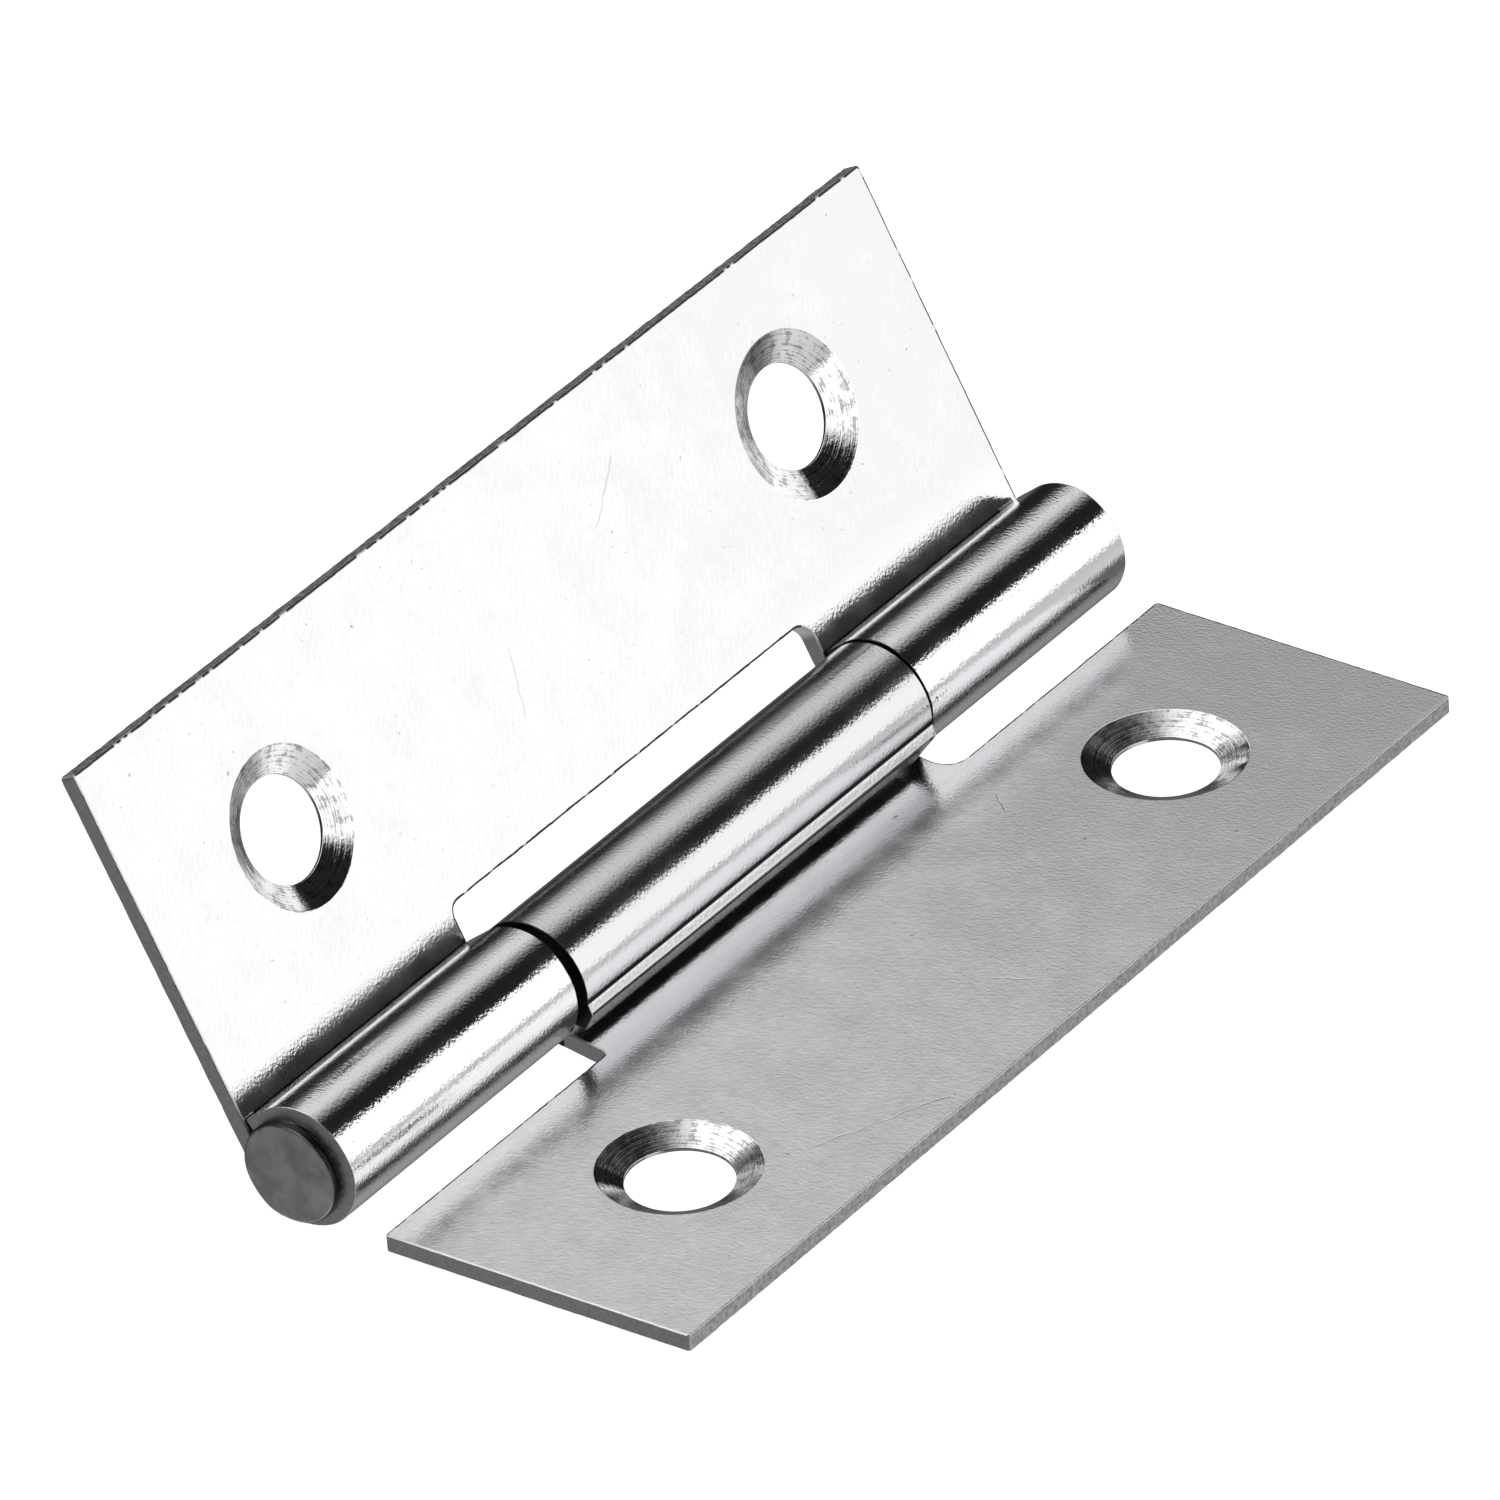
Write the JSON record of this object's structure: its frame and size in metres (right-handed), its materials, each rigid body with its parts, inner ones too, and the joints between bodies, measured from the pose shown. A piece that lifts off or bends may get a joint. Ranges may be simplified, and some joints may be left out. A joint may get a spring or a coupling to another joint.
{
  "type": "door hinge",
  "caption": "Pressed-steel butt hinge: two countersunk leaves rolled into knuckles round one peened pin, standing open at an obtuse angle.",
  "frame": {"origin": "on the fixed leaf's mounting face, midway between its two screw holes", "axes": "+Z out of the fixed leaf's inner face, +Y along the hinge axis, +X from the hinge axis to the fixed leaf's free edge"},
  "size_m": [0.0318, 0.0614, 0.0204],
  "materials": {
    "fixed_leaf_zinc": "bright zinc plate, rolled and lightly scratched",
    "swinging_leaf_zinc": "bright zinc plate, rolled and lightly scratched",
    "pin_steel": "dull zinc plate over a peened end"
  },
  "bodies": {
    "fixed_side": {"fixed_leaf": "fixed_leaf_zinc"},
    "swinging_side": {"swinging_leaf": "swinging_leaf_zinc", "hinge_pin": "pin_steel"}
  },
  "joints": [
    {"name": "leaf_swing", "type": "hinge", "parent": "fixed_side", "child": "swinging_side", "pos_m": [-0.0118, 0, 0.0034], "axis": [0, -1, 0], "range_deg": [-116.7, 153.3]}
  ]
}
